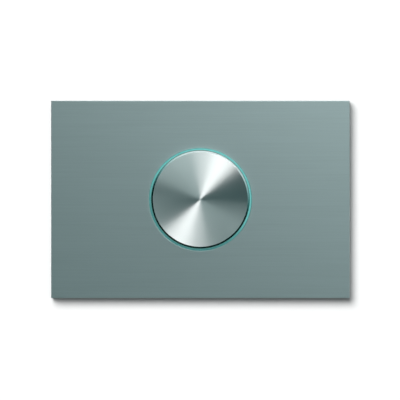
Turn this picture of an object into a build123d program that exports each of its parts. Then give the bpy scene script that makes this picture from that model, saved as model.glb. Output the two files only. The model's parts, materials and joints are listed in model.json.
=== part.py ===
from build123d import *
import os

os.makedirs("parts", exist_ok=True)

# Wall-mounted rotary light switch with a lit ring around its knob, in millimetres.
# +Z is up, the wall is the plane y = 0, the viewer is on the -Y side and the knob turns about the Y axis.
# Depths below are distances in front of the wall, so a negative one lies inside the wall box.

# Clearances
running_gap = 0.3
slip_gap = 0.1
press_gap = 0.05
shaft_gap = 0.05
axial_play = 0.2
contact_air = 0.1
loose_gap = 0.5

# Cover plate
plate_width = 121.0
plate_height = 80.0
plate_depth = 6.0
plate_skin = 2.0
plate_rim = 2.0
plate_edge_break = 0.3
plate_hole_break = 0.15
pocket_corner = 2.0

# Carrier behind the plate
carrier_thickness = 1.2
carrier_screw_access = 4.5
leg_width = 7.0
leg_thickness = 1.6
leg_length = 5.6
leg_half_spacing = 22.0
leg_stand_off = 3.5
hook_reach = 0.9
hook_land = 0.6
hook_play = 0.15
window_play = 0.4

# Support frame
frame_thickness = 1.5
frame_margin_x = 3.5
frame_margin_z = 2.5
frame_corner = 4.0
frame_lip_height = 1.0
frame_lip_thickness = 1.2
frame_lip_inset = 12.0
box_screw_spacing = 83.5
box_slot_width = 4.2
box_slot_length = 8.0

# Knob
knob_diameter = 39.5
knob_height = 10.0
knob_proud = 5.0
knob_skin = 2.0
knob_wall = 1.4
knob_bevel = 0.6
hub_flange = 2.0
hub_radius = 6.0
hub_rib_thickness = 1.6
hub_rib_height = 3.0
hub_rib_margin = 1.5
hub_rib_count = 6
hub_slot_width = 1.2
hub_slot_depth = 5.0
spring_thickness = 1.0
spring_height = 1.4
spring_inset = 0.8
spring_opening = 3.0

# Light ring and light unit
ring_width = 0.6
ring_proud = 0.3
ring_foot_width = 3.25
ring_foot_height = 2.0
ring_neck = 0.6
ring_flange_thickness = 1.5
channel_wall = 1.0
channel_floor = 1.0
channel_side_gap = 0.4
skirt_gap = 0.6
led_board_thickness = 1.0
led_count = 12
led_length = 2.0
led_width = 1.4
led_height = 0.8
led_pin_radius = 0.4
led_pin_half_spacing = 3.0
led_pin_overlap = 3.0
led_pin_stub = 0.6

# Housing
well_depth = 8.0
well_gap = 0.2
well_wall = 2.1
side_room = 8.1
housing_wall = 2.0
housing_floor = 3.0
housing_corner = 5.0
housing_edge_break = 0.6
parting_groove = 0.3
label_width = 34.0
label_height = 40.0
label_corner = 2.0
label_depth = 0.5
cover_floor = 2.5
core_wall = 2.0
core_height = 14.0
column_radius = 3.5
column_inset = 4.5
counterbore_depth = 2.0
screw_bite = 6.0

# Screws
housing_screw_radius = 1.5
housing_screw_head = 2.7
housing_screw_head_height = 1.8
frame_screw_radius = 1.45
frame_screw_head = 2.6
frame_screw_head_height = 1.0
frame_screw_inset = 3.6
frame_screw_half_spacing = 12.0
terminal_screw_radius = 1.5
terminal_screw_head = 2.6
terminal_screw_head_height = 1.6
terminal_screw_lift = 0.6
terminal_screw_rise = 5.4
screw_slot_width = 0.8
screw_slot_share = 0.5

# Shaft, bushing and detent
shaft_radius = 3.0
shaft_end_gap = 1.0
shaft_end_break = 0.4
shaft_flat_depth = 1.5
shaft_square = 4.2
pivot_radius = 2.0
pivot_depth = 1.5
pivot_boss = 4.5
collar_radius = 4.5
collar_thickness = 1.0
bush_radius = 5.0
bush_boss_wall = 2.5
bush_boss_height = 4.0
bush_flange_radius = 7.0
bush_flange = 1.5
circlip_radius = 5.0
circlip_thickness = 0.8
circlip_opening = 3.4
circlip_groove = 0.7
hub_stand_off = 1.0
cam_size = 12.0
cam_corner = 2.0
cam_thickness = 5.0
leaf_thickness = 0.5
leaf_margin = 0.3
leaf_overhang = 1.0
post_half_spacing = 15.0
post_width = 4.0
post_wall = 2.0

# Rotor and contacts
rotor_radius = 13.0
rotor_thickness = 4.0
rotor_rim = 2.0
rotor_recess = 1.5
peg_radius = 1.0
peg_half_spacing = 7.0
peg_head = 0.4
bridge_thickness = 0.8
bridge_width = 6.0
bridge_margin = 0.8
bridge_eye = 1.6
contact_radius = 10.5
tip_radius = 2.0
tip_height = 0.8
tip_edge_break = 0.4
pad_radius = 2.4
pad_height = 1.0
strip_thickness = 0.8
strip_width = 5.0
strip_support = 2.3
support_width = 4.0
support_setback = 4.0

# Terminals
terminal_size = 8.0
terminal_depth = 9.0
terminal_side_room = 2.5
terminal_half_spacing = 12.0
wire_entry = 3.6
wire_funnel = 0.8
driver_access = 3.0
fence_wall = 1.2
fence_drop = 0.3

# Driver board
board_rib = 1.2
board_rib_width = 2.0
board_thickness = 1.2
board_width = 36.0
board_gap = 1.5
tab_width = 4.0
tab_half_spacing = 14.5
capacitor_length = 13.0
capacitor_width = 7.0
capacitor_height = 6.0
capacitor_x = -4.0
rectifier_size = 6.0
rectifier_height = 2.6
rectifier_x = 9.0
resistor_radius = 1.2
resistor_length = 6.0
resistor_neck = 0.25
part_edge_break = 0.5

# Radii about the knob's axis, outward from the knob
knob_radius = knob_diameter / 2
ring_inner = knob_radius + running_gap
ring_outer = ring_inner + ring_width
plate_hole = ring_outer + slip_gap
foot_outer = ring_inner + ring_foot_width
channel_inner_out = ring_inner - running_gap
channel_inner_in = channel_inner_out - channel_wall
channel_outer_in = foot_outer + channel_side_gap
channel_outer_out = channel_outer_in + channel_wall
flange_radius = channel_outer_out - slip_gap
well_radius = channel_outer_out + well_gap
frame_hole = well_radius + loose_gap
carrier_hole = flange_radius + loose_gap
led_radius = (channel_inner_out + channel_outer_in) / 2

# Depths of the front, from the plate to the light unit
plate_back = plate_depth - plate_skin
carrier_back = plate_back - carrier_thickness
knob_front = plate_depth + knob_proud
knob_inside = knob_front - knob_skin
knob_rear = knob_front - knob_height
ring_front = plate_depth + ring_proud
flange_front = plate_back - slip_gap
flange_rear = flange_front - ring_flange_thickness
channel_inner_front = knob_rear - skirt_gap
led_board_rear = channel_floor - well_depth
led_board_front = led_board_rear + led_board_thickness
led_front = led_board_front + led_height
ring_rear = led_front + loose_gap

# Depths of the mechanism, from the front of the bushing to the back of the housing
cover_rear = -well_depth - cover_floor
bush_front = bush_boss_height - well_depth
bush_rear = cover_rear - bush_flange
circlip_rear = bush_front + axial_play
circlip_front = circlip_rear + circlip_thickness
hub_rear = circlip_front + hub_stand_off
shaft_front = knob_inside - shaft_end_gap
collar_front = bush_rear - axial_play
collar_rear = collar_front - collar_thickness
cam_rear = collar_rear - cam_thickness
rotor_rear = cam_rear - rotor_thickness
bridge_rear = rotor_rear - bridge_thickness
tip_rear = bridge_rear - tip_height
pad_front = tip_rear - contact_air
strip_front = pad_front - pad_height
strip_rear = strip_front - strip_thickness
floor_inside = strip_rear - strip_support
housing_rear = floor_inside - housing_floor
square_rear = bridge_rear - peg_head
pivot_rear = floor_inside - pivot_depth

# Sizes that follow from the ones above
pocket_width = plate_width - 2 * plate_rim
pocket_height = plate_height - 2 * plate_rim
frame_width = pocket_width - 2 * frame_margin_x
frame_height = pocket_height - 2 * frame_margin_z
housing_width = 2 * (well_radius + side_room)
housing_height = 2 * (well_radius + well_wall)
leg_z = housing_height / 2 + leg_stand_off
frame_screw_x = well_radius + frame_screw_inset
column_x = housing_width / 2 - column_inset
column_z = housing_height / 2 - column_inset
terminal_x = housing_width / 2 - housing_wall - terminal_side_room - terminal_size / 2
terminal_inner = terminal_x - terminal_size / 2
terminal_screw_depth = floor_inside + terminal_screw_rise
terminal_top = terminal_half_spacing + terminal_size / 2
fence_inside = terminal_size + 2 * slip_gap
leaf_middle = cam_size / 2 + slip_gap + leaf_thickness / 2
leaf_front = collar_rear - leaf_margin
leaf_rear = cam_rear + leaf_margin
board_bottom = board_rib + housing_wall - housing_height / 2
board_top = board_bottom + board_thickness
board_front = cover_rear - board_gap
board_rear = floor_inside + loose_gap
board_middle = (board_front + board_rear) / 2
led_pin_z = board_top + led_pin_radius
led_pin_rear = board_front - led_pin_overlap
support_x = terminal_inner - support_setback
bridge_hole = shaft_square / 2 * 2**0.5 + running_gap

# The plane of an outline drawn as radius and depth, to be turned about the knob's axis
TURNING = Plane(origin=(0, 0, 0), x_dir=(1, 0, 0), z_dir=(0, 0, -1))


def front(depth):
    """The upright plane at a depth, facing the viewer."""
    return Plane.XZ.offset(depth)


def back(depth):
    """The upright plane at a depth, facing into the wall box."""
    return Plane(origin=(0, -depth, 0), x_dir=(1, 0, 0), z_dir=(0, 1, 0))


def slotted_screw(shank_radius, shank_length, head_radius, head_height):
    """A slotted screw that points down, with the underside of its head at the origin."""
    with BuildPart() as screw:
        with BuildSketch():
            Circle(head_radius)
        extrude(amount=head_height)
        with BuildSketch():
            Circle(shank_radius)
        extrude(amount=-shank_length)
        with BuildSketch(Plane.XY.offset(head_height)):
            Rectangle(2 * head_radius, screw_slot_width)
        extrude(amount=-head_height * screw_slot_share, mode=Mode.SUBTRACT)
    return screw.part


# Cover plate: a shallow tray with a round opening
with BuildPart() as front_plate:
    with BuildSketch(front(0)):
        Rectangle(plate_width, plate_height)
    extrude(amount=plate_depth)
    chamfer(front_plate.faces().sort_by(Axis.Y)[0].edges(), plate_edge_break)
    with BuildSketch(front(0)):
        RectangleRounded(pocket_width, pocket_height, pocket_corner)
    extrude(amount=plate_back, mode=Mode.SUBTRACT)
    with BuildSketch(front(plate_back)):
        Circle(plate_hole)
    extrude(amount=plate_skin, mode=Mode.SUBTRACT)
    chamfer(front_plate.faces().sort_by(Axis.Y)[0].inner_wires().edges(), plate_hole_break)

# Moulded carrier bonded behind the plate, with four snap legs
with BuildPart() as plate_carrier:
    with BuildSketch(front(carrier_back)):
        RectangleRounded(pocket_width - 2 * slip_gap, pocket_height - 2 * slip_gap, pocket_corner)
        Circle(carrier_hole, mode=Mode.SUBTRACT)
        with GridLocations(box_screw_spacing, 0, 2, 1):
            SlotCenterToCenter(
                box_slot_length - box_slot_width,
                2 * carrier_screw_access,
                mode=Mode.SUBTRACT,
            )
    extrude(amount=carrier_thickness)
    leg_inner = leg_z - leg_thickness / 2
    leg_outer = leg_z + leg_thickness / 2
    leg_tip = carrier_back - leg_length
    leg_side = Plane((leg_half_spacing + leg_width / 2, 0, 0), x_dir=(0, -1, 0), z_dir=(-1, 0, 0))
    with BuildSketch(leg_side):
        with BuildLine():
            Polyline(
                (carrier_back, leg_inner),
                (-hook_play, leg_inner),
                (-hook_play, leg_inner - hook_reach),
                (-hook_play - hook_land, leg_inner - hook_reach),
                (leg_tip, leg_inner),
                (leg_tip, leg_outer),
                (carrier_back, leg_outer),
                close=True,
            )
        make_face()
    extrude(amount=leg_width)
    mirror(about=Plane.XY)
    mirror(about=Plane.YZ)

# Pressed steel frame with the two slots for the wall box
with BuildPart() as support_frame:
    with BuildSketch(front(0)):
        RectangleRounded(frame_width, frame_height, frame_corner)
        Circle(frame_hole, mode=Mode.SUBTRACT)
        with GridLocations(box_screw_spacing, 0, 2, 1):
            SlotOverall(box_slot_length, box_slot_width, mode=Mode.SUBTRACT)
        with GridLocations(2 * leg_half_spacing, 2 * leg_z, 2, 2):
            Rectangle(leg_width + 2 * window_play, leg_thickness + 2 * window_play, mode=Mode.SUBTRACT)
        with GridLocations(2 * frame_screw_x, 2 * frame_screw_half_spacing, 2, 2):
            Circle(frame_screw_radius + slip_gap, mode=Mode.SUBTRACT)
    extrude(amount=frame_thickness)
    with BuildSketch(front(frame_thickness)):
        with GridLocations(0, frame_height - frame_lip_thickness, 1, 2):
            Rectangle(frame_width - 2 * frame_lip_inset, frame_lip_thickness)
    extrude(amount=frame_lip_height)

with BuildPart(front(frame_thickness)) as frame_screws:
    with GridLocations(2 * frame_screw_x, 2 * frame_screw_half_spacing, 2, 2):
        add(slotted_screw(frame_screw_radius, screw_bite, frame_screw_head, frame_screw_head_height))

# Front half of the housing, with the round well of the light unit and the posts of the leaf springs
with BuildPart() as housing_cover:
    with BuildSketch(front(cover_rear)):
        RectangleRounded(housing_width, housing_height, housing_corner)
    extrude(amount=-cover_rear)
    chamfer(housing_cover.faces().sort_by(Axis.Y)[-1].edges(), parting_groove)
    with BuildSketch(front(-well_depth)):
        Circle(well_radius)
    extrude(amount=well_depth, mode=Mode.SUBTRACT)
    with BuildSketch(front(-well_depth)):
        Circle(bush_radius + bush_boss_wall)
    extrude(amount=bush_boss_height)
    with BuildSketch(front(cover_rear)):
        Circle(bush_radius + press_gap)
        with GridLocations(2 * led_pin_half_spacing, 0, 2, 1):
            with Locations((0, led_pin_z)):
                Circle(led_pin_radius + slip_gap)
    extrude(amount=bush_front - cover_rear, mode=Mode.SUBTRACT)
    with BuildSketch(front(-screw_bite)):
        with GridLocations(2 * frame_screw_x, 2 * frame_screw_half_spacing, 2, 2):
            Circle(frame_screw_radius + press_gap)
    extrude(amount=screw_bite, mode=Mode.SUBTRACT)
    with BuildSketch(front(cover_rear)):
        with GridLocations(2 * column_x, 2 * column_z, 2, 2):
            Circle(housing_screw_radius + press_gap)
    extrude(amount=screw_bite + slip_gap, mode=Mode.SUBTRACT)
    with BuildSketch(front(cover_rear)):
        with GridLocations(2 * well_radius + side_room, 0, 2, 1):
            Rectangle(side_room - 2 * core_wall, core_height)
    extrude(amount=-cover_rear - core_wall, mode=Mode.SUBTRACT)
    with BuildSketch(front(leaf_rear)):
        with GridLocations(2 * post_half_spacing, 2 * leaf_middle, 2, 2):
            Rectangle(post_width, leaf_thickness + 2 * (slip_gap + post_wall))
            Rectangle(post_width, leaf_thickness + 2 * slip_gap, mode=Mode.SUBTRACT)
    extrude(amount=cover_rear - leaf_rear)

# Rear half of the housing, with its columns, terminal fences, contact supports and board ribs
with BuildPart() as housing_base:
    with BuildSketch(front(housing_rear)):
        RectangleRounded(housing_width, housing_height, housing_corner)
    extrude(amount=cover_rear - housing_rear)
    chamfer(housing_base.faces().sort_by(Axis.Y)[-1].edges(), housing_edge_break)
    chamfer(housing_base.faces().sort_by(Axis.Y)[0].edges(), parting_groove)
    with BuildSketch(front(housing_rear)):
        RectangleRounded(label_width, label_height, label_corner)
    extrude(amount=label_depth, mode=Mode.SUBTRACT)
    with BuildSketch(front(floor_inside)):
        RectangleRounded(
            housing_width - 2 * housing_wall,
            housing_height - 2 * housing_wall,
            housing_corner - housing_wall,
        )
    extrude(amount=cover_rear - floor_inside, mode=Mode.SUBTRACT)
    with BuildSketch(front(floor_inside)):
        with GridLocations(2 * column_x, 2 * column_z, 2, 2):
            Circle(column_radius)
    extrude(amount=cover_rear - floor_inside)
    with BuildSketch(front(floor_inside)):
        with GridLocations(2 * terminal_x, 2 * terminal_half_spacing, 2, 2):
            Rectangle(fence_inside + 2 * fence_wall, fence_inside + 2 * fence_wall)
            Rectangle(fence_inside, fence_inside, mode=Mode.SUBTRACT)
    extrude(amount=strip_support - fence_drop)
    with BuildSketch(front(floor_inside)):
        Circle(pivot_boss)
        with GridLocations(2 * contact_radius, 0, 2, 1):
            Rectangle(support_width, support_width)
        with GridLocations(2 * support_x, 2 * terminal_half_spacing, 2, 2):
            Rectangle(support_width, support_width)
        with Locations((0, terminal_half_spacing)):
            Rectangle(support_width, support_width)
    extrude(amount=strip_support)
    with BuildSketch(Plane.XY.offset(board_bottom)):
        with GridLocations(2 * tab_half_spacing, 0, 2, 1):
            with Locations((0, -board_middle)):
                Rectangle(board_rib_width, board_front - board_rear)
    extrude(amount=-board_rib)
    with BuildSketch(front(pivot_rear - slip_gap)):
        Circle(pivot_radius + shaft_gap)
    extrude(amount=floor_inside + strip_support - pivot_rear + slip_gap, mode=Mode.SUBTRACT)
    with BuildSketch(front(housing_rear)):
        with GridLocations(2 * column_x, 2 * column_z, 2, 2):
            Circle(housing_screw_radius + slip_gap)
        with GridLocations(2 * terminal_x, 2 * terminal_half_spacing, 2, 2):
            Rectangle(wire_entry, wire_entry)
    extrude(amount=cover_rear - housing_rear, mode=Mode.SUBTRACT)
    with BuildSketch(front(housing_rear)):
        with GridLocations(2 * column_x, 2 * column_z, 2, 2):
            Circle(housing_screw_head + slip_gap)
    extrude(amount=counterbore_depth, mode=Mode.SUBTRACT)
    with BuildSketch(front(housing_rear)):
        with GridLocations(2 * terminal_x, 2 * terminal_half_spacing, 2, 2):
            Rectangle(wire_entry + 2 * wire_funnel, wire_entry + 2 * wire_funnel)
    extrude(amount=wire_funnel, taper=45, mode=Mode.SUBTRACT)
    with BuildSketch(Plane.XY):
        with GridLocations(2 * terminal_x, 0, 2, 1):
            with Locations((0, -terminal_screw_depth)):
                Circle(driver_access)
    extrude(amount=housing_height, both=True, mode=Mode.SUBTRACT)

with BuildPart(back(housing_rear + counterbore_depth)) as housing_screws:
    with GridLocations(2 * column_x, 2 * column_z, 2, 2):
        add(
            slotted_screw(
                housing_screw_radius,
                cover_rear + screw_bite - housing_rear - counterbore_depth,
                housing_screw_head,
                housing_screw_head_height,
            )
        )

# Bearing and shaft
with BuildPart() as bushing:
    with BuildSketch(TURNING):
        with BuildLine():
            Polyline(
                (shaft_radius + shaft_gap, bush_front),
                (bush_radius, bush_front),
                (bush_radius, cover_rear),
                (bush_flange_radius, cover_rear),
                (bush_flange_radius, bush_rear),
                (shaft_radius + shaft_gap, bush_rear),
                close=True,
            )
        make_face()
    revolve(axis=Axis.Y)

with BuildPart() as shaft:
    groove_radius = shaft_radius - circlip_groove
    with BuildSketch(TURNING):
        with BuildLine():
            Polyline(
                (0, shaft_front),
                (shaft_radius - shaft_end_break, shaft_front),
                (shaft_radius, shaft_front - shaft_end_break),
                (shaft_radius, circlip_front + press_gap),
                (groove_radius, circlip_front + press_gap),
                (groove_radius, circlip_rear - press_gap),
                (shaft_radius, circlip_rear - press_gap),
                (shaft_radius, collar_front),
                (collar_radius, collar_front),
                (collar_radius, collar_rear),
                (0, collar_rear),
                close=True,
            )
        make_face()
    revolve(axis=Axis.Y)
    with BuildSketch(front(square_rear)):
        Rectangle(shaft_square, shaft_square)
    extrude(amount=collar_rear - square_rear)
    with BuildSketch(front(pivot_rear)):
        Circle(pivot_radius)
    extrude(amount=square_rear - pivot_rear)
    with BuildSketch(front(hub_rear)):
        with Locations((0, shaft_radius + shaft_flat_depth)):
            Rectangle(2 * shaft_radius, 2 * shaft_radius)
    extrude(amount=shaft_front - hub_rear, mode=Mode.SUBTRACT)

with BuildPart() as circlip:
    with BuildSketch(front(circlip_rear)):
        Circle(circlip_radius)
        Circle(groove_radius + press_gap, mode=Mode.SUBTRACT)
        with Locations((0, -circlip_radius)):
            Rectangle(circlip_opening, 2 * circlip_radius, mode=Mode.SUBTRACT)
    extrude(amount=circlip_thickness)

# Detent: a square cam between two leaf springs
with BuildPart() as detent_cam:
    with BuildSketch(front(cam_rear)):
        RectangleRounded(cam_size, cam_size, cam_corner)
        Rectangle(shaft_square + 2 * press_gap, shaft_square + 2 * press_gap, mode=Mode.SUBTRACT)
    extrude(amount=cam_thickness)

with BuildPart() as detent_springs:
    with BuildSketch(front(leaf_rear)):
        with GridLocations(0, 2 * leaf_middle, 1, 2):
            Rectangle(2 * post_half_spacing + post_width + 2 * leaf_overhang, leaf_thickness)
    extrude(amount=leaf_front - leaf_rear)

# Rotor with its contact bridge
with BuildPart() as rotor:
    with BuildSketch(front(rotor_rear)):
        Circle(rotor_radius)
    extrude(amount=rotor_thickness)
    with BuildSketch(front(cam_rear - rotor_recess)):
        Circle(rotor_radius - rotor_rim)
        Circle(collar_radius, mode=Mode.SUBTRACT)
    extrude(amount=rotor_recess, mode=Mode.SUBTRACT)
    with BuildSketch(front(bridge_rear - peg_head)):
        with GridLocations(2 * peg_half_spacing, 0, 2, 1):
            Circle(peg_radius)
    extrude(amount=bridge_thickness + peg_head)
    with BuildSketch(front(rotor_rear)):
        Rectangle(shaft_square + 2 * press_gap, shaft_square + 2 * press_gap)
    extrude(amount=rotor_thickness, mode=Mode.SUBTRACT)

with BuildPart() as contact_bridge:
    with BuildSketch(front(bridge_rear)):
        SlotOverall(2 * (contact_radius + tip_radius + bridge_margin), bridge_width)
        Circle(bridge_hole + bridge_eye)
        Circle(bridge_hole, mode=Mode.SUBTRACT)
        with GridLocations(2 * peg_half_spacing, 0, 2, 1):
            Circle(peg_radius + press_gap, mode=Mode.SUBTRACT)
    extrude(amount=bridge_thickness)
    with BuildSketch(front(bridge_rear)):
        with GridLocations(2 * contact_radius, 0, 2, 1):
            Circle(tip_radius)
    extrude(amount=-tip_height)
    chamfer(contact_bridge.edges().group_by(Axis.Y)[-1], tip_edge_break)

# Fixed contacts: pressed strips with raised pads
with BuildPart() as line_contact:
    with BuildSketch(front(strip_rear)):
        with Locations((0, terminal_half_spacing)):
            Rectangle(2 * terminal_inner, strip_width)
        with Locations((-contact_radius, terminal_half_spacing)):
            Rectangle(strip_width, terminal_half_spacing + strip_width / 2, align=(Align.CENTER, Align.MAX))
    extrude(amount=strip_thickness)
    with BuildSketch(front(strip_front)):
        with Locations((-contact_radius, 0)):
            Circle(pad_radius)
    extrude(amount=pad_height)

with BuildPart() as load_contact:
    with BuildSketch(front(strip_rear)):
        with Locations((terminal_inner, -terminal_half_spacing)):
            Rectangle(
                terminal_inner - contact_radius + strip_width / 2,
                strip_width,
                align=(Align.MAX, Align.CENTER),
            )
        with Locations((contact_radius, -terminal_half_spacing)):
            Rectangle(strip_width, terminal_half_spacing + strip_width / 2, align=(Align.CENTER, Align.MIN))
        with Locations((tab_half_spacing, board_top)):
            Rectangle(tab_width, -terminal_half_spacing - board_top, align=(Align.CENTER, Align.MIN))
    extrude(amount=strip_thickness)
    with BuildSketch(front(strip_front)):
        with Locations((contact_radius, 0)):
            Circle(pad_radius)
    extrude(amount=pad_height)

with BuildPart() as neutral_contact:
    with BuildSketch(front(strip_rear)):
        with Locations((-terminal_inner, -terminal_half_spacing)):
            Rectangle(
                terminal_inner - tab_half_spacing + tab_width / 2,
                strip_width,
                align=(Align.MIN, Align.CENTER),
            )
        with Locations((-tab_half_spacing, board_top)):
            Rectangle(tab_width, -terminal_half_spacing - board_top, align=(Align.CENTER, Align.MIN))
    extrude(amount=strip_thickness)

# Wire clamps and their screws
with BuildPart() as terminal_blocks:
    with BuildSketch(front(floor_inside)):
        with GridLocations(2 * terminal_x, 2 * terminal_half_spacing, 2, 2):
            Rectangle(terminal_size, terminal_size)
            Rectangle(wire_entry, wire_entry, mode=Mode.SUBTRACT)
    extrude(amount=terminal_depth)
    for side in (1, -1):
        with BuildSketch(Plane.XY.offset(side * terminal_half_spacing)):
            with GridLocations(2 * terminal_x, 0, 2, 1):
                with Locations((0, -terminal_screw_depth)):
                    Circle(terminal_screw_radius + press_gap)
        extrude(amount=side * terminal_size, mode=Mode.SUBTRACT)

with BuildPart(Plane.XY.offset(terminal_top + terminal_screw_lift)) as terminal_screws:
    screw_reach = (terminal_size - wire_entry) / 2 + terminal_screw_lift
    with GridLocations(2 * terminal_x, 0, 2, 1):
        with Locations((0, -terminal_screw_depth)):
            add(
                slotted_screw(
                    terminal_screw_radius,
                    screw_reach,
                    terminal_screw_head,
                    terminal_screw_head_height,
                )
            )
    mirror(about=Plane.XY)

# Driver board with its parts and pins
with BuildPart() as driver_board:
    with BuildSketch(Plane.XY.offset(board_bottom)):
        with Locations((0, -board_middle)):
            Rectangle(board_width, board_front - board_rear)
    extrude(amount=board_thickness)

with BuildPart() as film_capacitor:
    with BuildSketch(Plane.XY.offset(board_top)):
        with Locations((capacitor_x, -board_middle)):
            RectangleRounded(capacitor_length, capacitor_width, part_edge_break)
    extrude(amount=capacitor_height)
    chamfer(film_capacitor.faces().sort_by(Axis.Z)[-1].edges(), part_edge_break)

with BuildPart() as rectifier:
    with BuildSketch(Plane.XY.offset(board_top)):
        with Locations((rectifier_x, -board_middle)):
            Rectangle(rectifier_size, rectifier_size)
    extrude(amount=rectifier_height)
    chamfer(rectifier.faces().sort_by(Axis.Z)[-1].edges(), part_edge_break)

with BuildPart() as resistor:
    resistor_end = Plane.YZ.offset(rectifier_x - resistor_length / 2)
    with BuildSketch(resistor_end):
        with Locations((-board_front + led_pin_overlap, board_top + resistor_radius)):
            Circle(resistor_radius)
    extrude(amount=resistor_length)
    chamfer(resistor.edges().filter_by(GeomType.CIRCLE), resistor_neck)

with BuildPart() as led_pins:
    with BuildSketch(front(led_pin_rear)):
        with GridLocations(2 * led_pin_half_spacing, 0, 2, 1):
            with Locations((0, led_pin_z)):
                Circle(led_pin_radius)
    extrude(amount=led_board_front + led_pin_stub - led_pin_rear)

# Light unit: reflector channel, ring board with light diodes, and the light guide
with BuildPart() as light_housing:
    with BuildSketch(TURNING):
        with BuildLine():
            Polyline(
                (channel_inner_in, -well_depth),
                (channel_outer_out, -well_depth),
                (channel_outer_out, flange_rear),
                (channel_outer_in, flange_rear),
                (channel_outer_in, led_board_rear),
                (channel_inner_out, led_board_rear),
                (channel_inner_out, channel_inner_front),
                (channel_inner_in, channel_inner_front),
                close=True,
            )
        make_face()
    revolve(axis=Axis.Y)
    with BuildSketch(front(-well_depth)):
        with GridLocations(2 * led_pin_half_spacing, 0, 2, 1):
            with Locations((0, led_pin_z)):
                Circle(led_pin_radius + slip_gap)
    extrude(amount=channel_floor, mode=Mode.SUBTRACT)

with BuildPart() as led_board:
    with BuildSketch(front(led_board_rear)):
        Circle(channel_outer_in - slip_gap)
        Circle(channel_inner_out + slip_gap, mode=Mode.SUBTRACT)
        with GridLocations(2 * led_pin_half_spacing, 0, 2, 1):
            with Locations((0, led_pin_z)):
                Circle(led_pin_radius + press_gap, mode=Mode.SUBTRACT)
    extrude(amount=led_board_thickness)

with BuildPart() as leds:
    with BuildSketch(front(led_board_front)):
        with PolarLocations(led_radius, led_count):
            Rectangle(led_width, led_length)
    extrude(amount=led_height)

with BuildPart() as light_ring:
    with BuildSketch(TURNING):
        with BuildLine():
            Polyline(
                (ring_inner, ring_rear),
                (foot_outer, ring_rear),
                (foot_outer, ring_rear + ring_foot_height),
                (ring_outer + ring_neck, flange_rear),
                (flange_radius, flange_rear),
                (flange_radius, flange_front),
                (ring_outer, flange_front),
                (ring_outer, ring_front),
                (ring_inner, ring_front),
                close=True,
            )
        make_face()
    revolve(axis=Axis.Y)

# Knob: turned cap, moulded hub and the spring ring around the hub
with BuildPart() as knob_shell:
    with BuildSketch(TURNING):
        with BuildLine():
            Polyline(
                (0, knob_front),
                (knob_radius - knob_bevel, knob_front),
                (knob_radius, knob_front - knob_bevel),
                (knob_radius, knob_rear),
                (knob_radius - knob_wall, knob_rear),
                (knob_radius - knob_wall, knob_inside),
                (0, knob_inside),
                close=True,
            )
        make_face()
    revolve(axis=Axis.Y)

with BuildPart() as knob_hub:
    flange_rim = knob_radius - knob_wall - slip_gap
    hub_flange_rear = knob_inside - hub_flange
    with BuildSketch(front(hub_flange_rear)):
        Circle(flange_rim)
    extrude(amount=hub_flange)
    with BuildSketch(front(hub_flange_rear - hub_rib_height)):
        with PolarLocations(0, hub_rib_count):
            Rectangle(flange_rim - hub_rib_margin, hub_rib_thickness, align=(Align.MIN, Align.CENTER))
    extrude(amount=hub_rib_height)
    with BuildSketch(front(hub_rear)):
        Circle(hub_radius)
    extrude(amount=hub_flange_rear - hub_rear)
    with BuildSketch(front(hub_rear + spring_inset)):
        Circle(hub_radius)
        Circle(hub_radius - spring_thickness / 2, mode=Mode.SUBTRACT)
    extrude(amount=spring_height + 2 * press_gap, mode=Mode.SUBTRACT)
    with BuildSketch(front(hub_rear)):
        Rectangle(2 * hub_radius, hub_slot_width)
    extrude(amount=hub_slot_depth, mode=Mode.SUBTRACT)
    with BuildSketch(front(hub_rear)):
        Circle(shaft_radius + press_gap)
        with Locations((0, shaft_flat_depth + press_gap)):
            Rectangle(
                4 * shaft_radius,
                2 * shaft_radius,
                align=(Align.CENTER, Align.MIN),
                mode=Mode.SUBTRACT,
            )
    extrude(amount=shaft_front + slip_gap - hub_rear, mode=Mode.SUBTRACT)

with BuildPart() as knob_spring:
    with BuildSketch(front(hub_rear + spring_inset + press_gap)):
        Circle(hub_radius + spring_thickness / 2)
        Circle(hub_radius - spring_thickness / 2 + press_gap, mode=Mode.SUBTRACT)
        with Locations((0, -hub_radius)):
            Rectangle(spring_opening, 2 * spring_opening, mode=Mode.SUBTRACT)
    extrude(amount=spring_height)

pieces = {
    "front_plate": front_plate,
    "plate_carrier": plate_carrier,
    "support_frame": support_frame,
    "frame_screws": frame_screws,
    "housing_cover": housing_cover,
    "housing_base": housing_base,
    "housing_screws": housing_screws,
    "bushing": bushing,
    "shaft": shaft,
    "circlip": circlip,
    "detent_cam": detent_cam,
    "detent_springs": detent_springs,
    "rotor": rotor,
    "contact_bridge": contact_bridge,
    "line_contact": line_contact,
    "load_contact": load_contact,
    "neutral_contact": neutral_contact,
    "terminal_blocks": terminal_blocks,
    "terminal_screws": terminal_screws,
    "driver_board": driver_board,
    "film_capacitor": film_capacitor,
    "rectifier": rectifier,
    "resistor": resistor,
    "led_pins": led_pins,
    "light_housing": light_housing,
    "led_board": led_board,
    "leds": leds,
    "light_ring": light_ring,
    "knob_shell": knob_shell,
    "knob_hub": knob_hub,
    "knob_spring": knob_spring,
}
for name, piece in pieces.items():
    piece.part.label = name
    export_step(piece.part, f"parts/{name}.step")
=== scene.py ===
import json
import math
from collections import namedtuple

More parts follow.
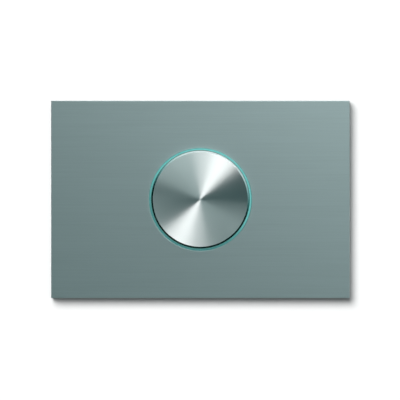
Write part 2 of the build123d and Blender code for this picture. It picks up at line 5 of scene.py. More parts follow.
import bpy
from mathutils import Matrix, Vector


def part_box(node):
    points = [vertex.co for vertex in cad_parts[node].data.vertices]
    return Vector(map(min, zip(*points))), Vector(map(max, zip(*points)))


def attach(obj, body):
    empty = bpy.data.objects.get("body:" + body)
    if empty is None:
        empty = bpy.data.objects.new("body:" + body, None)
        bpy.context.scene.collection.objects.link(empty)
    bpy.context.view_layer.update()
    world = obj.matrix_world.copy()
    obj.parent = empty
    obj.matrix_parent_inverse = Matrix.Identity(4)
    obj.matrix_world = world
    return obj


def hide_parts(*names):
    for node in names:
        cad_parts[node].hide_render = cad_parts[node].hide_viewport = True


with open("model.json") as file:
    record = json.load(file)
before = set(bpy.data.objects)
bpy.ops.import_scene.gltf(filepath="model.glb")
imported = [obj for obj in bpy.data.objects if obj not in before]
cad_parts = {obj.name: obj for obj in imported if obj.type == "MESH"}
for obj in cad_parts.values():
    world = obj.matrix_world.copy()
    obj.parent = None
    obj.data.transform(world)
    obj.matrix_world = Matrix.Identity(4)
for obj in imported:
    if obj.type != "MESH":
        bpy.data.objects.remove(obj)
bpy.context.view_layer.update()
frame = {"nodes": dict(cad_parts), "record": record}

# Lengths are metres: +Z is up, the wall is the plane y = 0 and the viewer is on the -Y side.
MM = 0.001

# The photograph's frame, in its own pixels
PHOTO_SIDE_PX = 400
PLATE_WIDTH_PX = 298.5
PLATE_CENTRE_PX = (200.35, 199.45)

# Forms of the three pieces that the front shows
RING_SEGMENTS = 256
PLATE_SKIN = 2.0 * MM
PLATE_RIM = 2.0 * MM
PLATE_POCKET_CORNER = 2.0 * MM
PLATE_EDGE = 0.25 * MM
KNOB_SKIN = 2.0 * MM
KNOB_WALL = 1.4 * MM
KNOB_BEVEL = 0.6 * MM
KNOB_EDGE = 0.02 * MM
LIGHT_RING_WIDTH = 0.6 * MM
LIGHT_RING_GAP = 0.3 * MM
LIGHT_RING_FOOT = 3.25 * MM
LIGHT_RING_FOOT_HEIGHT = 2.0 * MM
LIGHT_RING_NECK = 0.6 * MM
LIGHT_RING_FLANGE = 1.5 * MM
LIGHT_RING_EDGE = 0.08 * MM
SLIP_GAP = 0.1 * MM

# Fine forms of the pieces behind the plate
MOULDED_EDGE = 0.25 * MM
LABEL_DEPTH = 0.5 * MM
MARK_HEIGHT = 4.0 * MM
MARK_WIDTH = 2.6 * MM
MARK_STROKE = 0.6 * MM
MARK_SLANT = 1.25 * MARK_STROKE
MARK_RISE = 0.25 * MM
MARK_SINK = 0.05 * MM
MARK_EDGE = 0.06 * MM
MARK_SETBACK = 11.0 * MM
ARROW_HEAD = 1.6 * MM
GAUGE_LENGTH = 9.0 * MM
GAUGE_HEIGHT = 2.0 * MM
GAUGE_Z = -16.0 * MM
DIODE_COUNT = 12
DIODE_DEPTH_ACROSS = 1.4 * MM
PHOSPHOR_RADIUS = 0.5 * MM
PHOSPHOR_CORE = 0.9 * PHOSPHOR_RADIUS

# Edges that turn by more than this are rounded
SHARP_ANGLE = math.radians(30)

# An even angle nearer than this share of a step to one that has to be met is left out
SPARE_SHARE = 0.25

NEARLY_ZERO = 1e-9

plate_low, plate_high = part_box("front_plate")
knob_low, knob_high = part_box("knob_shell")
light_low, light_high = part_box("light_ring")
plate_front = -plate_low.y
knob_radius = knob_high.x
knob_front = -knob_low.y
knob_rear = -knob_high.y
ring_inner = knob_radius + LIGHT_RING_GAP
ring_outer = ring_inner + LIGHT_RING_WIDTH
plate_hole = ring_outer + SLIP_GAP
ring_front = -light_low.y
ring_rear = -light_high.y

# Nearly all values of a noise texture lie between these two
NOISE_LOW, NOISE_HIGH = 0.3, 0.7

# Cells of a texture for each metre, the same all ways or along X, Y and Z
FLOW_CELLS = 90
CLOUD_CELLS = 70
PLATE_GRAIN_CELLS = 5000
PLATE_BRUSH_CELLS = (30, 400, 2500)
SPUN_RING_CELLS = 9000
BEVEL_CELLS = 900
MILK_CELLS = 600
CRYSTAL_CELLS = 700
ROLLED_CELLS = (60, 3000, 3000)
TRACK_CELLS = 420
WEAVE_CELLS = 2500
LACQUER_CELLS = 1500
DIODE_GRAIN_CELLS = 6000

# How far the finishes vary: the colour by a share of itself, and the roughness
PLASTIC_COLOUR_SHARE, PLASTIC_ROUGHNESS_STEP = 0.04, 0.07
METAL_COLOUR_SHARE, METAL_ROUGHNESS_STEP = 0.06, 0.05

# How strongly the brushing of the plate adds to its grain
PLATE_BRUSH_SHARE = 0.6

# Samples of a rounded edge that is only shaded
EDGE_SAMPLES = 4

# The width of one grain of moulded plastic
MOULD_GRAIN = 0.2 * MM
MARK_GRAIN = 0.12 * MM

# The height of the finest relief
MOULD_RELIEF = 0.02 * MM
BRUSH_RELIEF = 0.006 * MM
SATIN_RELIEF = 0.004 * MM
TRACK_RELIEF = 0.035 * MM
LACQUER_RELIEF = 0.02 * MM
DIODE_RELIEF = 0.01 * MM

# The bands of the resistor: the middle of each along its length, from 0 to 1, and its colour
RESISTOR_BANDS = (
    (0.24, (0.16, 0.06, 0.02)),
    (0.38, (0.01, 0.01, 0.01)),
    (0.52, (0.4, 0.02, 0.01)),
    (0.76, (0.5, 0.33, 0.08)),
)
RESISTOR_BAND_HALF = 0.04

# Moulded slots of the record: colour and roughness
PLASTICS = {
    "carrier_plastic": ((0.035, 0.036, 0.04), 0.5),
    "cover_plastic": ((0.62, 0.62, 0.6), 0.48),
    "base_plastic": ((0.075, 0.08, 0.085), 0.52),
    "slide_plastic": ((0.75, 0.72, 0.62), 0.42),
    "hub_plastic": ((0.05, 0.05, 0.055), 0.5),
    "capacitor_box": ((0.55, 0.33, 0.04), 0.4),
    "chip_black": ((0.012, 0.012, 0.013), 0.5),
    "reflector_white": ((0.82, 0.84, 0.83), 0.35),
}

# Metal slots of the record: colour, roughness and the cells of their fine lines
METALS = {
    "screw_steel": ((0.58, 0.58, 0.55), 0.32, (2500, 2500, 2500)),
    "brass": ((0.72, 0.5, 0.2), 0.3, (2000, 9000, 2000)),
    "shaft_steel": ((0.5, 0.51, 0.52), 0.25, (200, 12000, 200)),
    "spring_steel": ((0.3, 0.31, 0.33), 0.34, (300, 9000, 300)),
    "copper": ((0.75, 0.38, 0.22), 0.32, (400, 6000, 6000)),
    "tinned_wire": ((0.6, 0.6, 0.58), 0.3, (1500, 300, 1500)),
}

# The stage: a wall with the opening of its box, which the plate overlaps, and a floor
WALL_HALF = 0.45
WALL_Y = 0.05 * MM
WALL_LAP = 4.0 * MM
WALL_GREY = 0.3
FLOOR_Z = -0.15
FLOOR_HALF = 2.5
FLOOR_GREY = 0.8

# Round soft lights: angles in degrees, as toward() takes them, and the distance from the knob
Lamp = namedtuple("Lamp", "name azimuth polar distance radius watts")
PLATE_KEY = Lamp("key", azimuth=61.6, polar=36, distance=0.8, radius=0.202, watts=2.88)
RING_KEY = Lamp("ring_key", azimuth=62, polar=36, distance=0.8, radius=0.22, watts=4.8)
KNOB_KEYS = (
    Lamp("knob_key", azimuth=58, polar=36, distance=0.8, radius=0.164, watts=1.42),
    Lamp("knob_shoulder", azimuth=70, polar=36, distance=0.8, radius=0.246, watts=1.64),
)
KNOB_FILLS = (
    Lamp("fill_above", azimuth=90, polar=52, distance=0.12, radius=0.075, watts=0.024),
    Lamp("fill_left", azimuth=115, polar=52, distance=0.08, radius=0.05, watts=0.0165),
    Lamp("fill_wide", azimuth=135, polar=52, distance=0.12, radius=0.08, watts=0.029),
    Lamp("fill_low", azimuth=200, polar=56, distance=0.04, radius=0.017, watts=0.0016),
    Lamp("fill_right", azimuth=332, polar=52, distance=0.06, radius=0.02, watts=0.0019),
)
SIDE_LAMPS = (
    Lamp("side_left", azimuth=205, polar=64, distance=0.9, radius=0.4, watts=1.65),
    Lamp("below", azimuth=270, polar=64, distance=0.9, radius=0.4, watts=1.15),
    Lamp("side_right", azimuth=335, polar=64, distance=0.9, radius=0.4, watts=1.65),
)
STAGE_LAMPS = (
    Lamp("wall_light", azimuth=126, polar=29.3, distance=6.0, radius=2.0, watts=1290.0),
    Lamp("wall_fill", azimuth=122, polar=1, distance=1.0, radius=0.8, watts=9.6),
)
REAR_LAMPS = (
    Lamp("rear_left", azimuth=40, polar=140, distance=0.8, radius=0.5, watts=4.0),
    Lamp("rear_right", azimuth=150, polar=140, distance=0.8, radius=0.5, watts=2.5),
)
KEY_TINT = (0.97, 1.0, 0.998)
FILL_TINT = (0.83, 1.0, 0.99)

# The surroundings that the metal reflects, and the backdrop that the camera sees
FRONT_COLOUR = (0.021, 0.064, 0.067)
REAR_COLOUR = (0.3, 0.3, 0.3)
HORIZON_LOW = (0.003, 0.015, 0.015)
HORIZON_MIDDLE = (0.15, 0.8, 0.8)
HORIZON_TOP = (0.85, 0.9, 0.9)
HORIZON_TOP_AZIMUTH = 74
BACKDROP = (0.78, 0.8, 0.8)

CAMERA_DISTANCE = 2.0
SENSOR_WIDTH_MM = 36.0


class Graph:
    """Shader nodes that are made and linked in one node tree."""

    # Sockets of the Mix node that take two colours and give one
    MIX_FIRST, MIX_SECOND, MIX_RESULT = 6, 7, 2

    def __init__(self, tree):
        self.tree = tree

    def feed(self, node, sockets):
        """Sets or links the inputs of a node. Colours are opaque and come without alpha."""
        for key, value in sockets.items():
            socket = node.inputs[key]
            if isinstance(value, bpy.types.NodeSocket):
                self.tree.links.new(value, socket)
            elif socket.type == "RGBA":
                socket.default_value = (*value, 1.0)
            else:
                socket.default_value = value

    def node(self, kind, sockets, **settings):
        """Adds a node of a kind, with its settings and inputs."""
        node = self.tree.nodes.new("ShaderNode" + kind)
        for key, value in settings.items():
            setattr(node, key, value)
        self.feed(node, sockets)
        return node

    def spread(self, value, low, high, start=NOISE_LOW, end=NOISE_HIGH, curve="LINEAR"):
        """Maps a value from start..end to low..high."""
        sockets = {
            "Value": value,
            "From Min": start,
            "From Max": end,
            "To Min": low,
            "To Max": high,
        }
        return self.node("MapRange", sockets, interpolation_type=curve).outputs["Result"]

    def math(self, operation, *values):
        """One operation on one to three values."""
        sockets = dict(enumerate(values))
        return self.node("Math", sockets, operation=operation).outputs["Value"]

    def tint(self, factor, first, second):
        """A colour between two colours."""
        mix = self.node("Mix", {0: factor}, data_type="RGBA")
        self.feed(mix, {self.MIX_FIRST: first, self.MIX_SECOND: second})
        return mix.outputs[self.MIX_RESULT]


class Finish(Graph):
    """A material made of nodes that all feed one Principled shader."""

    def __init__(self, name, sockets):
        self.material = bpy.data.materials.new(name)
        self.material.use_nodes = True
        super().__init__(self.material.node_tree)
        self.shader = self.tree.nodes["Principled BSDF"]
        self.feed(self.shader, sockets)

    def place(self, scale=1):
        """The place on the piece in metres, times one scale or a scale along each axis."""
        scales = scale if isinstance(scale, tuple) else (scale,) * 3
        place = self.node("TexCoord", {}).outputs["Object"]
        scaled = self.node("VectorMath", {0: place, 1: scales}, operation="MULTIPLY")
        return scaled.outputs["Vector"]

    def from_axis(self):
        """The distance from the knob's axis in metres."""
        across = self.place((1, 0, 1))
        return self.node("VectorMath", {0: across}, operation="LENGTH").outputs["Value"]

    def noise(self, cells, detail=2.0, roughness=0.5):
        """Smooth noise, with so many cells for each metre."""
        sockets = {
            "Vector": self.place(cells),
            "Scale": 1.0,
            "Detail": detail,
            "Roughness": roughness,
        }
        return self.node("TexNoise", sockets).outputs["Fac"]

    def noise_along(self, value, detail):
        """Noise along one value."""
        sockets = {"W": value, "Scale": 1.0, "Detail": detail}
        return self.node("TexNoise", sockets, noise_dimensions="1D").outputs["Fac"]

    def parts(self, vector):
        """The X, Y and Z parts of a vector."""
        return self.node("SeparateXYZ", {"Vector": vector}).outputs[:]

    def tone(self, noise, first, second):
        """A colour between two colours that follows a noise."""
        return self.tint(self.spread(noise, 0, 1), first, second)

    def uneven(self, noise, middle, step):
        """A value that a noise moves a step up or down."""
        return self.spread(noise, middle - step, middle + step)

    def look(self, colour, roughness):
        """Feeds the shader its colour and roughness."""
        self.feed(self.shader, {"Base Color": colour, "Roughness": roughness})

    def bump(self, height, strength, depth, edge=0.0):
        """Feeds the shader a normal that follows a height of some depth, over rounded edges."""
        sockets = {"Height": height, "Strength": strength, "Distance": depth}
        if edge:
            rounded = self.node("Bevel", {"Radius": edge}, samples=EDGE_SAMPLES)
            sockets["Normal"] = rounded.outputs["Normal"]
        self.feed(self.shader, {"Normal": self.node("Bump", sockets).outputs["Normal"]})


def shades(colour, share):
    """A colour made a little darker and a little lighter."""
    return [
        tuple(min(1.0, part * factor) for part in colour) for factor in (1 - share, 1 + share)
    ]


def moulded(name, colour, roughness, grain=MOULD_GRAIN):
    """Moulded plastic with a spark-eroded grain and faint flow marks."""
    finish = Finish(name, {})
    flow = finish.noise(FLOW_CELLS, detail=4.0)
    fine = finish.noise(1 / grain, detail=3.0, roughness=0.6)
    finish.look(
        finish.tone(flow, *shades(colour, PLASTIC_COLOUR_SHARE)),
        finish.uneven(fine, roughness, PLASTIC_ROUGHNESS_STEP),
    )
    finish.bump(fine, strength=0.35, depth=MOULD_RELIEF, edge=MOULDED_EDGE)
    return finish.material


def brushed(name, colour, roughness, lines):
    """Metal with fine lines; lines gives the cells for each metre along X, Y and Z."""
    finish = Finish(name, {"Metallic": 1.0})
    streak = finish.noise(lines, detail=3.0, roughness=0.6)
    cloud = finish.noise(CLOUD_CELLS, detail=3.0)
    finish.look(
        finish.tone(cloud, *shades(colour, METAL_COLOUR_SHARE)),
        finish.uneven(streak, roughness, METAL_ROUGHNESS_STEP),
    )
    finish.bump(streak, strength=0.2, depth=BRUSH_RELIEF)
    return finish.material


def satin_plate():
    """Satin metal with a very fine grain and faint level brushing."""
    finish = Finish("satin_plate", {"Metallic": 1.0})
    grain = finish.noise(PLATE_GRAIN_CELLS, roughness=0.6)
    streak = finish.noise(PLATE_BRUSH_CELLS, detail=3.0, roughness=0.6)
    brushing = finish.math("MULTIPLY", streak, PLATE_BRUSH_SHARE)
    mixed = finish.math("ADD", grain, brushing)
    finish.look(
        finish.tone(streak, (0.545, 0.652, 0.653), (0.577, 0.687, 0.69)),
        finish.spread(mixed, 0.44, 0.5, start=0.5, end=1.1),
    )
    finish.bump(mixed, strength=0.2, depth=SATIN_RELIEF)
    return finish.material


def spun_face():
    """The knob's face, turned in fine rings, which draw a highlight into a fan."""
    finish = Finish(
        "spun_face",
        {"Metallic": 1.0, "Anisotropic": 1.0, "Anisotropic Rotation": 0.25},
    )
    tangent = finish.node("Tangent", {}, direction_type="RADIAL", axis="Y")
    turned = finish.math("MULTIPLY", finish.from_axis(), SPUN_RING_CELLS)
    rings = finish.noise_along(turned, detail=3.0)
    finish.look(
        finish.tone(rings, (0.77, 0.77, 0.765), (0.83, 0.83, 0.825)),
        finish.spread(rings, 0.34, 0.38),
    )
    finish.feed(finish.shader, {"Tangent": tangent.outputs["Tangent"]})
    return finish.material


def polished_bevel():
    """The bright cut along the knob's edge."""
    finish = Finish("polished_bevel", {"Metallic": 1.0})
    cut = finish.noise(BEVEL_CELLS)
    finish.look(
        finish.tone(cut, (0.78, 0.85, 0.85), (0.84, 0.9, 0.9)),
        finish.spread(cut, 0.07, 0.1),
    )
    return finish.material


def lit_ring():
    """The light guide: a turquoise glow in a clear to milky plastic."""
    finish = Finish(
        "lit_ring",
        {"Emission Color": (0.065, 0.19, 0.185), "Emission Strength": 1.0, "IOR": 1.49},
    )
    milk = finish.noise(MILK_CELLS)
    finish.look(
        finish.tone(milk, (0.12, 0.44, 0.42), (0.15, 0.5, 0.48)),
        finish.spread(milk, 0.25, 0.35),
    )
    return finish.material


def zinc_sheet():
    """Rolled sheet steel under a coat of small zinc crystals."""
    finish = Finish("zinc_steel", {"Metallic": 1.0})
    sockets = {"Vector": finish.place(CRYSTAL_CELLS), "Scale": 1.0}
    crystals = finish.node("TexVoronoi", sockets)
    shine = finish.parts(crystals.outputs["Color"])[0]
    rolled = finish.noise(ROLLED_CELLS, detail=3.0, roughness=0.6)
    dull = finish.spread(shine, 0.3, 0.42, start=0, end=1)
    finish.look(
        finish.tint(shine, (0.45, 0.48, 0.5), (0.56, 0.59, 0.61)),
        finish.math("ADD", dull, finish.spread(rolled, -0.04, 0.04)),
    )
    finish.bump(rolled, strength=0.2, depth=BRUSH_RELIEF)
    return finish.material


def circuit_board():
    """A glass laminate with copper tracks under green solder mask."""
    finish = Finish("circuit_board", {})
    sockets = {"Vector": finish.place(TRACK_CELLS), "Scale": 1.0}
    nearest, second = (
        finish.node("TexVoronoi", sockets, feature=feature, distance="CHEBYCHEV")
        for feature in ("F1", "F2")
    )
    gap = finish.math("SUBTRACT", second.outputs["Distance"], nearest.outputs["Distance"])
    track = finish.spread(gap, 1, 0, start=0.1, end=0.15)
    weave = finish.noise(WEAVE_CELLS)
    bare = finish.tone(weave, (0.012, 0.095, 0.045), (0.016, 0.115, 0.055))
    finish.look(
        finish.tint(track, bare, (0.035, 0.19, 0.075)),
        finish.spread(weave, 0.32, 0.4),
    )
    finish.bump(track, strength=0.5, depth=TRACK_RELIEF)
    return finish.material


def banded_resistor():
    """A lacquered resistor with coloured bands along its length."""
    low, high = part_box("resistor")
    finish = Finish("resistor_body", {})
    lacquer = finish.noise(LACQUER_CELLS)
    along = finish.spread(finish.parts(finish.place())[0], 0, 1, start=low.x, end=high.x)
    tone = finish.tone(lacquer, (0.11, 0.24, 0.33), (0.13, 0.28, 0.39))
    for middle, colour in RESISTOR_BANDS:
        band = finish.math("COMPARE", along, middle, RESISTOR_BAND_HALF)
        tone = finish.tint(band, tone, colour)
    finish.look(tone, finish.spread(lacquer, 0.22, 0.3))
    finish.bump(lacquer, strength=0.2, depth=LACQUER_RELIEF)
    return finish.material


def light_diode():
    """White diode packages, each with a round of phosphor in its middle."""
    finish = Finish(
        "led_lens",
        {"Emission Color": (0.06, 0.2, 0.19), "Emission Strength": 0.5},
    )
    x, _, z = finish.parts(finish.place())
    half_step = math.pi / DIODE_COUNT
    turn = finish.math("WRAP", finish.math("ARCTAN2", z, x), half_step, -half_step)
    reach = finish.from_axis()
    row_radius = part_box("leds")[1].x - DIODE_DEPTH_ACROSS / 2
    outward = finish.math("MULTIPLY", reach, finish.math("COSINE", turn))
    across = finish.math("SUBTRACT", outward, row_radius)
    along = finish.math("MULTIPLY", reach, finish.math("SINE", turn))
    squares = [finish.math("POWER", side, 2.0) for side in (across, along)]
    away = finish.math("SQRT", finish.math("ADD", *squares))
    phosphor = finish.spread(away, 1, 0, start=PHOSPHOR_CORE, end=PHOSPHOR_RADIUS)
    grain = finish.noise(DIODE_GRAIN_CELLS)
    shell = finish.tone(grain, (0.78, 0.78, 0.74), (0.84, 0.84, 0.8))
    finish.look(
        finish.tint(phosphor, shell, (0.82, 0.66, 0.16)),
        finish.spread(grain, 0.25, 0.38),
    )
    finish.bump(grain, strength=0.2, depth=DIODE_RELIEF)
    return finish.material


def add(name, data):
    """A new object in the scene."""
    made = bpy.data.objects.new(name, data)
    bpy.context.scene.collection.objects.link(made)
    return made


def add_mesh(name, verts, faces):
    """A new object with a mesh of its own."""
    mesh = bpy.data.meshes.new(name)
    mesh.from_pydata(verts, [], faces)
    return add(name, mesh)


def circle(radius):
    """A round section about the knob's axis."""
    return lambda angle: radius


def rectangle(half_x, half_z, corner=0.0):
    """A rectangular section about the knob's axis, as the distance from it at an angle."""

    def distance(angle):
        along, up = abs(math.cos(angle)), abs(math.sin(angle))
        plain = min(half_x / max(along, NEARLY_ZERO), half_z / max(up, NEARLY_ZERO))
        centre_x, centre_z = half_x - corner, half_z - corner
        if corner and plain * along > centre_x and plain * up > centre_z:
            middle = along * centre_x + up * centre_z
            return middle + math.sqrt(middle**2 - centre_x**2 - centre_z**2 + corner**2)
        return plain

    return distance


def skin(name, loops, angles, closed=False):
    """A mesh through loops about the Y axis.

    Each loop is a section, or None for a point on the axis, its depth and the material slot
    of the faces that follow it.
    """
    verts, rows = [], []
    for section, depth, _ in loops:
        if section is None:
            rows.append([len(verts)] * len(angles))
            verts.append((0, -depth, 0))
            continue
        rows.append(list(range(len(verts), len(verts) + len(angles))))
        for angle in angles:
            reach = section(angle)
            verts.append((reach * math.cos(angle), -depth, reach * math.sin(angle)))
    faces, slots = [], []
    for index in range(len(loops) - (0 if closed else 1)):
        row, following = rows[index], rows[(index + 1) % len(rows)]
        for here in range(len(angles)):
            there = (here + 1) % len(angles)
            corners = [row[here], following[here], following[there], row[there]]
            faces.append(list(dict.fromkeys(corners)))
            slots.append(loops[index][2])
    made = add_mesh(name, verts, faces)
    made.data.polygons.foreach_set("material_index", slots)
    made.data.shade_smooth()
    made.data.update()
    return made


def soften(piece, width, segments=3):
    """Rounds a piece's sharp edges."""
    bevel = piece.modifiers.new("edges", "BEVEL")
    bevel.width = width
    bevel.segments = segments
    bevel.limit_method = "ANGLE"
    bevel.angle_limit = SHARP_ANGLE
    bevel.harden_normals = True


def dress(piece, body, slot, finishes, *replaced):
    """Gives a new piece its finishes and its body, and hides the nodes that it stands for."""
    for finish in finishes:
        piece.data.materials.append(finish)
    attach(piece, body)
    if replaced:
        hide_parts(*replaced)


def even_angles(count, extra=()):
    """Angles all round, with some that have to be met exactly."""
    step = 2 * math.pi / count
    even = [n * step for n in range(count)]
    kept = [angle for angle in even if all(abs(angle - a) > SPARE_SHARE * step for a in extra)]
    return sorted(kept + list(extra))


def cover_plate():
    """The plate: a shallow tray with a round opening and softly broken edges."""
    half_x, half_z = plate_high.x, plate_high.z
    corner = math.atan2(half_z, half_x)
    corners = [corner, math.pi - corner, math.pi + corner, 2 * math.pi - corner]
    inside = rectangle(half_x - PLATE_RIM, half_z - PLATE_RIM, PLATE_POCKET_CORNER)
    back = plate_front - PLATE_SKIN
    outside = rectangle(half_x, half_z)
    loops = [
        (inside, 0, 0),
        (inside, back, 0),
        (circle(plate_hole), back, 0),
        (circle(plate_hole), plate_front, 0),
        (outside, plate_front, 0),
        (outside, 0, 0),
    ]
    piece = skin("cover_plate", loops, even_angles(RING_SEGMENTS, corners), closed=True)
    soften(piece, PLATE_EDGE)
    dress(piece, "base", "plate_metal", [satin_plate()], "front_plate")
    return piece


def knob_cap():
    """The knob: a turned cap with a spun face and a polished bevel."""
    wall = knob_radius - KNOB_WALL
    face, bevel, side = range(3)
    loops = [
        (None, knob_front, face),
        (circle(knob_radius - KNOB_BEVEL), knob_front, bevel),
        (circle(knob_radius), knob_front - KNOB_BEVEL, side),
        (circle(knob_radius), knob_rear, side),
        (circle(wall), knob_rear, side),
        (circle(wall), knob_front - KNOB_SKIN, side),
        (None, knob_front - KNOB_SKIN, side),
    ]
    piece = skin("knob_cap", loops, even_angles(RING_SEGMENTS))
    soften(piece, KNOB_EDGE)
    turned = brushed(
        "turned_side", colour=(0.55, 0.61, 0.605), roughness=0.36, lines=(40, 9000, 40)
    )
    dress(piece, "knob", "knob_metal", [spun_face(), polished_bevel(), turned], "knob_shell")
    return piece


def glow_ring():
    """The light guide around the knob, with its foot over the light diodes."""
    foot = ring_inner + LIGHT_RING_FOOT
    flange = light_high.x
    flange_front = plate_front - PLATE_SKIN - SLIP_GAP
    flange_rear = flange_front - LIGHT_RING_FLANGE
    loops = [
        (circle(ring_inner), ring_rear, 0),
        (circle(ring_inner), ring_front, 0),
        (circle(ring_outer), ring_front, 0),
        (circle(ring_outer), flange_front, 0),
        (circle(flange), flange_front, 0),
        (circle(flange), flange_rear, 0),
        (circle(ring_outer + LIGHT_RING_NECK), flange_rear, 0),
        (circle(foot), ring_rear + LIGHT_RING_FOOT_HEIGHT, 0),
        (circle(foot), ring_rear, 0),
    ]
    piece = skin("glow_ring", loops, even_angles(RING_SEGMENTS), closed=True)
    soften(piece, LIGHT_RING_EDGE)
    dress(piece, "base", "light_guide", [lit_ring()], "light_ring")
    return piece


def mark_outlines():
    """The outlines of the rear marks by mount, counter-clockwise as they are read."""
    width, height, stroke, slant = MARK_WIDTH, MARK_HEIGHT, MARK_STROKE, MARK_SLANT
    joint = height * stroke / (width - slant)
    line = [
        (0, 0),
        (width, 0),
        (width, stroke),
        (stroke, stroke),
        (stroke, height),
        (0, height),
    ]
    neutral = [
        (0, 0),
        (stroke, 0),
        (stroke, height - joint),
        (width - slant, 0),
        (width, 0),
        (width, height),
        (width - stroke, height),
        (width - stroke, joint),
        (slant, height),
        (0, height),
    ]
    arrow = [
        (-stroke / 2, height),
        (-stroke / 2, ARROW_HEAD),
        (-width / 2, ARROW_HEAD),
        (0, 0),
        (width / 2, ARROW_HEAD),
        (stroke / 2, ARROW_HEAD),
        (stroke / 2, height),
    ]
    return {
        "wire_line_in": line,
        "wire_line_out": line,
        "wire_load": arrow,
        "wire_neutral": neutral,
    }


def gauge_outline():
    """The gauge for the length of wire to bare: a bar between two ticks."""
    low, high = (GAUGE_HEIGHT - MARK_STROKE) / 2, (GAUGE_HEIGHT + MARK_STROKE) / 2
    inner = GAUGE_LENGTH - MARK_STROKE
    return [
        (0, 0),
        (MARK_STROKE, 0),
        (MARK_STROKE, low),
        (inner, low),
        (inner, 0),
        (GAUGE_LENGTH, 0),
        (GAUGE_LENGTH, GAUGE_HEIGHT),
        (inner, GAUGE_HEIGHT),
        (inner, high),
        (MARK_STROKE, high),
        (MARK_STROKE, GAUGE_HEIGHT),
        (0, GAUGE_HEIGHT),
    ]


def terminal_marks():
    """Raised marks in the recess of the rear face, which are read from behind."""
    outlines = mark_outlines()
    placed = [((0, GAUGE_Z), gauge_outline())]
    for mount in frame["record"]["mounts"]:
        if mount["name"] in outlines:
            x, _, z = mount["pos_m"]
            place = (x - math.copysign(MARK_SETBACK, x), z)
            placed.append((place, outlines[mount["name"]]))
    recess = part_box("housing_base")[1].y - LABEL_DEPTH
    verts, faces = [], []
    for (centre_x, centre_z), outline in placed:
        middle_x = (min(x for x, _ in outline) + max(x for x, _ in outline)) / 2
        middle_z = (min(z for _, z in outline) + max(z for _, z in outline)) / 2
        first, count = len(verts), len(outline)
        for depth in (recess - MARK_SINK, recess + MARK_RISE):
            for x, z in outline:
                verts.append((centre_x + middle_x - x, depth, centre_z + z - middle_z))
        low = list(range(first, first + count))
        high = list(range(first + count, first + 2 * count))
        faces.extend([low[::-1], high])
        for here in range(count):
            there = (here + 1) % count
            faces.append([low[here], low[there], high[there], high[here]])
    piece = add_mesh("terminal_marks", verts, faces)
    soften(piece, MARK_EDGE, segments=2)
    plastic = moulded(
        "mark_plastic", colour=(0.1, 0.105, 0.11), roughness=0.4, grain=MARK_GRAIN
    )
    dress(piece, "base", "base_plastic", [plastic])


def dress_nodes():
    """Finishes of the nodes that stay as they are, by the record's material slots."""
    finishes = {
        "zinc_steel": zinc_sheet(),
        "circuit_board": circuit_board(),
        "resistor_body": banded_resistor(),
        "led_lens": light_diode(),
    }
    for slot, (colour, roughness) in PLASTICS.items():
        finishes[slot] = moulded(slot, colour, roughness)
    for slot, (colour, roughness, lines) in METALS.items():
        finishes[slot] = brushed(slot, colour, roughness, lines)
    for part in frame["record"]["subparts"]:
        finish = finishes.get(part["material_slot"])
        if finish is not None:
            mesh = frame["nodes"][part["node"]].data
            mesh.materials.clear()
            mesh.materials.append(finish)


def one_sided(name, grey):
    """A pale stage finish that can be looked through from behind."""
    sockets = {"Roughness": 0.9, "Specular IOR Level": 0.0, "Base Color": (grey,) * 3}
    finish = Finish(name, sockets)
    geometry = finish.node("NewGeometry", {})
    clear = finish.node("BsdfTransparent", {})
    mix = finish.node("MixShader", {0: geometry.outputs["Backfacing"]})
    finish.feed(mix, {1: finish.shader.outputs["BSDF"], 2: clear.outputs["BSDF"]})
    output = finish.tree.nodes["Material Output"]
    finish.feed(output, {"Surface": mix.outputs["Shader"]})
    return finish.material


def stage_sheet(name, corners, faces, grey):
    """One flat sheet of the stage, which the metal doesn't mirror."""
    sheet = add_mesh(name, corners, faces)
    sheet.data.materials.append(one_sided(name, grey))
    sheet.visible_glossy = False
    return sheet


def corners_of(low_x, low_z, high_x, high_z):
    """The four corners of an upright or level rectangle, counter-clockwise."""
    return [(low_x, low_z), (high_x, low_z), (high_x, high_z), (low_x, high_z)]


def stage():
    """The pale wall that the plate lies on, with the opening of its box, and a pale floor."""
    open_x, open_z = plate_high.x - WALL_LAP, plate_high.z - WALL_LAP
    outside = corners_of(-WALL_HALF, FLOOR_Z, WALL_HALF, WALL_HALF)
    opening = corners_of(-open_x, -open_z, open_x, open_z)
    wall = stage_sheet(
        "stage_wall",
        [(x, WALL_Y, z) for x, z in outside + opening],
        [(n, (n + 1) % 4, 4 + (n + 1) % 4, 4 + n) for n in range(4)],
        WALL_GREY,
    )
    ground = corners_of(-FLOOR_HALF, -FLOOR_HALF, FLOOR_HALF, FLOOR_HALF)
    floor = stage_sheet(
        "stage_floor",
        [(x, y, FLOOR_Z) for x, y in ground],
        [(0, 1, 2, 3)],
        FLOOR_GREY,
    )
    floor.visible_diffuse = False
    return wall, floor


def toward(azimuth, polar):
    """The direction at an angle round the knob's axis and an angle away from it, in degrees.

    The first is counted from +X towards +Z, and the second from the viewer's side.
    """
    round_angle, away = math.radians(azimuth), math.radians(polar)
    return Vector(
        (
            math.sin(away) * math.cos(round_angle),
            -math.cos(away),
            math.sin(away) * math.sin(round_angle),
        )
    )


def soft_light(lamp, reaches=None, blocked_by=None, colour=(1, 1, 1)):
    """A round soft light that faces the knob."""
    light = bpy.data.lights.new(lamp.name, "AREA")
    light.shape = "DISK"
    light.size = 2 * lamp.radius
    light.energy = lamp.watts
    light.color = colour
    made = add(lamp.name, light)
    direction = toward(lamp.azimuth, lamp.polar)
    made.location = Vector((0, -knob_front, 0)) + direction * lamp.distance
    made.rotation_mode = "QUATERNION"
    made.rotation_quaternion = (-direction).to_track_quat("-Z", "Y")
    made.visible_camera = False
    made.light_linking.receiver_collection = reaches
    made.light_linking.blocker_collection = blocked_by


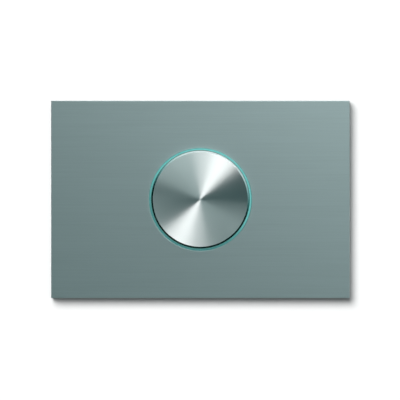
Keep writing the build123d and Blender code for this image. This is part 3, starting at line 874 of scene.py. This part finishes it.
def group(name, *pieces, left_out=False):
    """The pieces that a light reaches or is blocked by, or all pieces but those."""
    made = bpy.data.collections.new(name)
    for piece in pieces:
        made.objects.link(piece)
    if left_out:
        for linked in made.collection_objects:
            linked.light_linking.link_state = "EXCLUDE"
    return made


def lights(wall, floor, plate, knob, ring):
    """Studio light on the switch, and lights of its own for the wall with its soft shadow."""
    stage_alone = group("stage_alone", wall, floor)
    plate_alone = group("plate_alone", plate)
    knob_alone = group("knob_alone", knob)
    ring_alone = group("ring_alone", ring)
    plate_and_rear = group("plate_and_rear", wall, floor, ring, knob, left_out=True)
    no_knob_shadow = group("no_knob_shadow", knob, left_out=True)
    soft_light(PLATE_KEY, plate_alone, no_knob_shadow, KEY_TINT)
    soft_light(RING_KEY, ring_alone)
    for lamp in KNOB_KEYS:
        soft_light(lamp, knob_alone, colour=KEY_TINT)
    for lamp in KNOB_FILLS:
        soft_light(lamp, knob_alone, colour=FILL_TINT)
    for lamp in SIDE_LAMPS:
        soft_light(lamp, plate_and_rear)
    for lamp in STAGE_LAMPS:
        soft_light(lamp, stage_alone)
    for lamp in REAR_LAMPS:
        soft_light(lamp)


def studio_world():
    """Dim surroundings, a horizon that is bright at the top, and a backdrop for the camera."""
    world = bpy.data.worlds.new("studio")
    world.use_nodes = True
    bpy.context.scene.world = world
    graph = Graph(world.node_tree)
    direction = graph.node("TexCoord", {}).outputs["Generated"]
    depth = graph.node("SeparateXYZ", {"Vector": direction}).outputs["Y"]
    sockets = {0: direction, 1: toward(HORIZON_TOP_AZIMUTH, 90)}
    lean = graph.node("VectorMath", sockets, operation="DOT_PRODUCT").outputs["Value"]
    off_level = graph.math("ABSOLUTE", depth)
    behind = graph.spread(depth, 0, 1, start=0.2, end=0.6, curve="SMOOTHSTEP")
    above = graph.spread(lean, 0, 1, start=-0.1, end=1.0, curve="SMOOTHSTEP")
    level = graph.spread(off_level, 1, 0, start=0.1, end=0.45, curve="SMOOTHSTEP")
    dim = graph.tint(behind, FRONT_COLOUR, REAR_COLOUR)
    glow = graph.tint(above, HORIZON_MIDDLE, HORIZON_TOP)
    horizon = graph.tint(above, HORIZON_LOW, glow)
    around = graph.tint(level, dim, horizon)
    seen = graph.node("LightPath", {}).outputs["Is Camera Ray"]
    shown = graph.tint(seen, around, BACKDROP)
    graph.feed(graph.tree.nodes["Background"], {"Color": shown})


def camera():
    """A long lens straight in front of the plate, framed as the photograph is."""
    scale = (plate_high.x - plate_low.x) / PLATE_WIDTH_PX
    lens = bpy.data.cameras.new("camera")
    lens.sensor_width = SENSOR_WIDTH_MM
    lens.lens = SENSOR_WIDTH_MM * (CAMERA_DISTANCE - plate_front) / (scale * PHOTO_SIDE_PX)
    eye = add("camera", lens)
    middle = PHOTO_SIDE_PX / 2
    eye.location = (
        (middle - PLATE_CENTRE_PX[0]) * scale,
        -CAMERA_DISTANCE,
        (PLATE_CENTRE_PX[1] - middle) * scale,
    )
    eye.rotation_euler = (math.radians(90), 0, 0)
    bpy.context.scene.camera = eye


plate = cover_plate()
knob = knob_cap()
ring = glow_ring()
terminal_marks()
dress_nodes()
wall, floor = stage()
lights(wall, floor, plate, knob, ring)
studio_world()
camera()
bpy.context.scene.view_settings.view_transform = "Standard"
